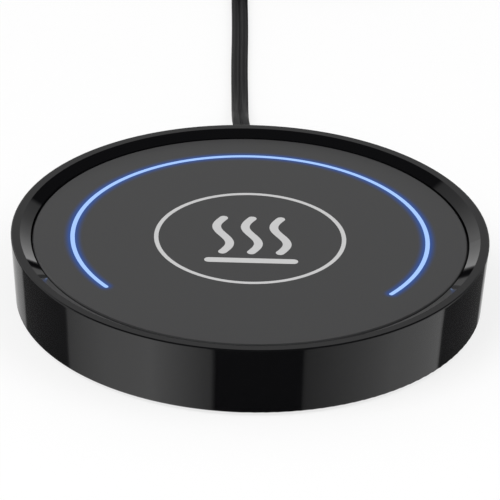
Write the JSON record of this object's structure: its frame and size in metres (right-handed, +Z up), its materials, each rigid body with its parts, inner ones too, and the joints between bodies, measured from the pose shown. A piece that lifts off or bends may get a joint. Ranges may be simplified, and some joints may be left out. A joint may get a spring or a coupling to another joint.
{
  "type": "mug warmer",
  "caption": "Round electric mug warmer: gloss black housing, pressed-down glass heating plate with a blue light arc, flat mains lead with coil and plug.",
  "frame": {"origin": "centre of the underside, on the table under the middle of the plate", "axes": "+Z up; -Y is the front, where the light arc is open; +Y is the back, where the lead leaves; +X is the right-hand side"},
  "size_m": [0.1282, 0.3187, 0.0189],
  "materials": {
    "gloss_black": "high gloss",
    "matte_black": "fine texture",
    "foot_rubber": "matte",
    "screw_steel": "zinc plated",
    "plate_glass": "dark satin, printed on its underside",
    "silicone": "matte",
    "carrier_nylon": "heat resistant nylon",
    "clear_acrylic": "clear, polished",
    "white_board": "solder mask",
    "blue_light": "small lights, lit blue",
    "spreader_metal": "machined",
    "mica": "mica laminate",
    "brass": "stamped",
    "felt_pad": "ceramic fibre felt",
    "steel_sheet": "galvanised",
    "sensor_case": "turned",
    "fuse_case": "glazed",
    "switch_case": "moulded",
    "plunger_red": "moulded",
    "board_green": "solder mask",
    "relay_blue": "moulded",
    "capacitor_yellow": "boxed film",
    "can_metal": "drawn can",
    "chip_black": "moulded",
    "fuse_glass": "glass tube",
    "terminal_green": "moulded",
    "lead_black": "smooth vinyl",
    "wire_brown": "smooth vinyl",
    "wire_blue": "smooth vinyl",
    "wire_white": "braided sleeve",
    "wire_red": "smooth vinyl",
    "tie_black": "strap",
    "blade_metal": "nickel plated",
    "spring_steel": "spring wire"
  },
  "bodies": {
    "housing": {"housing_shell": "gloss_black", "base_cover": "matte_black", "housing_screws": "screw_steel", "microswitch_body": "switch_case", "control_board": "board_green", "board_screws": "screw_steel", "relay": "relay_blue", "film_capacitor": "capacitor_yellow", "smoothing_capacitor": "can_metal", "control_chip": "chip_black", "board_fuse": "fuse_glass", "terminal_block": "terminal_green", "cord_relief": "lead_black", "lead_inner": "lead_black", "cord_clamp": "matte_black", "clamp_screws": "screw_steel", "heater_wires": "wire_white", "sensor_wires": "wire_blue", "light_wires": "wire_red", "switch_wires": "wire_white", "power_cord": "lead_black", "cord_coil": "lead_black", "coil_tie": "tie_black", "cord_end": "lead_black", "plug_body": "lead_black", "plug_blades": "blade_metal", "live_wire": "wire_brown", "neutral_wire": "wire_blue", "rubber_foot_1": "foot_rubber", "rubber_foot_2": "foot_rubber", "rubber_foot_3": "foot_rubber", "rubber_foot_4": "foot_rubber", "return_spring_1": "spring_steel", "return_spring_2": "spring_steel", "return_spring_3": "spring_steel"},
    "heating_plate": {"glass_plate": "plate_glass", "silicone_bead": "silicone", "plate_carrier": "carrier_nylon", "light_guide": "clear_acrylic", "light_strip": "white_board", "strip_lights": "blue_light", "heat_spreader": "spreader_metal", "heating_element": "mica", "element_terminals": "brass", "insulation_pad": "felt_pad", "backing_disc": "steel_sheet", "backing_screws": "screw_steel", "temperature_sensor": "sensor_case", "thermal_fuse": "fuse_case", "fuse_clip": "steel_sheet", "fuse_lead": "wire_white"},
    "switch_plunger": {"microswitch_plunger": "plunger_red"}
  },
  "joints": [
    {"name": "plate_press", "type": "slide", "parent": "housing", "child": "heating_plate", "axis": [0, 0, 1], "range_m": [-0.001, 0], "stiffness_N_per_m": 1300, "springref_m": 0.0018, "deforming": ["return_spring_1", "return_spring_2", "return_spring_3", "heater_wires", "sensor_wires", "light_wires"]},
    {"name": "plunger_press", "type": "slide", "parent": "housing", "child": "switch_plunger", "axis": [0, 0, 1], "range_m": [-0.001, 0]}
  ],
  "couplings": [
    {"joint": "plunger_press", "follows": "plate_press", "ratio": 1}
  ]
}
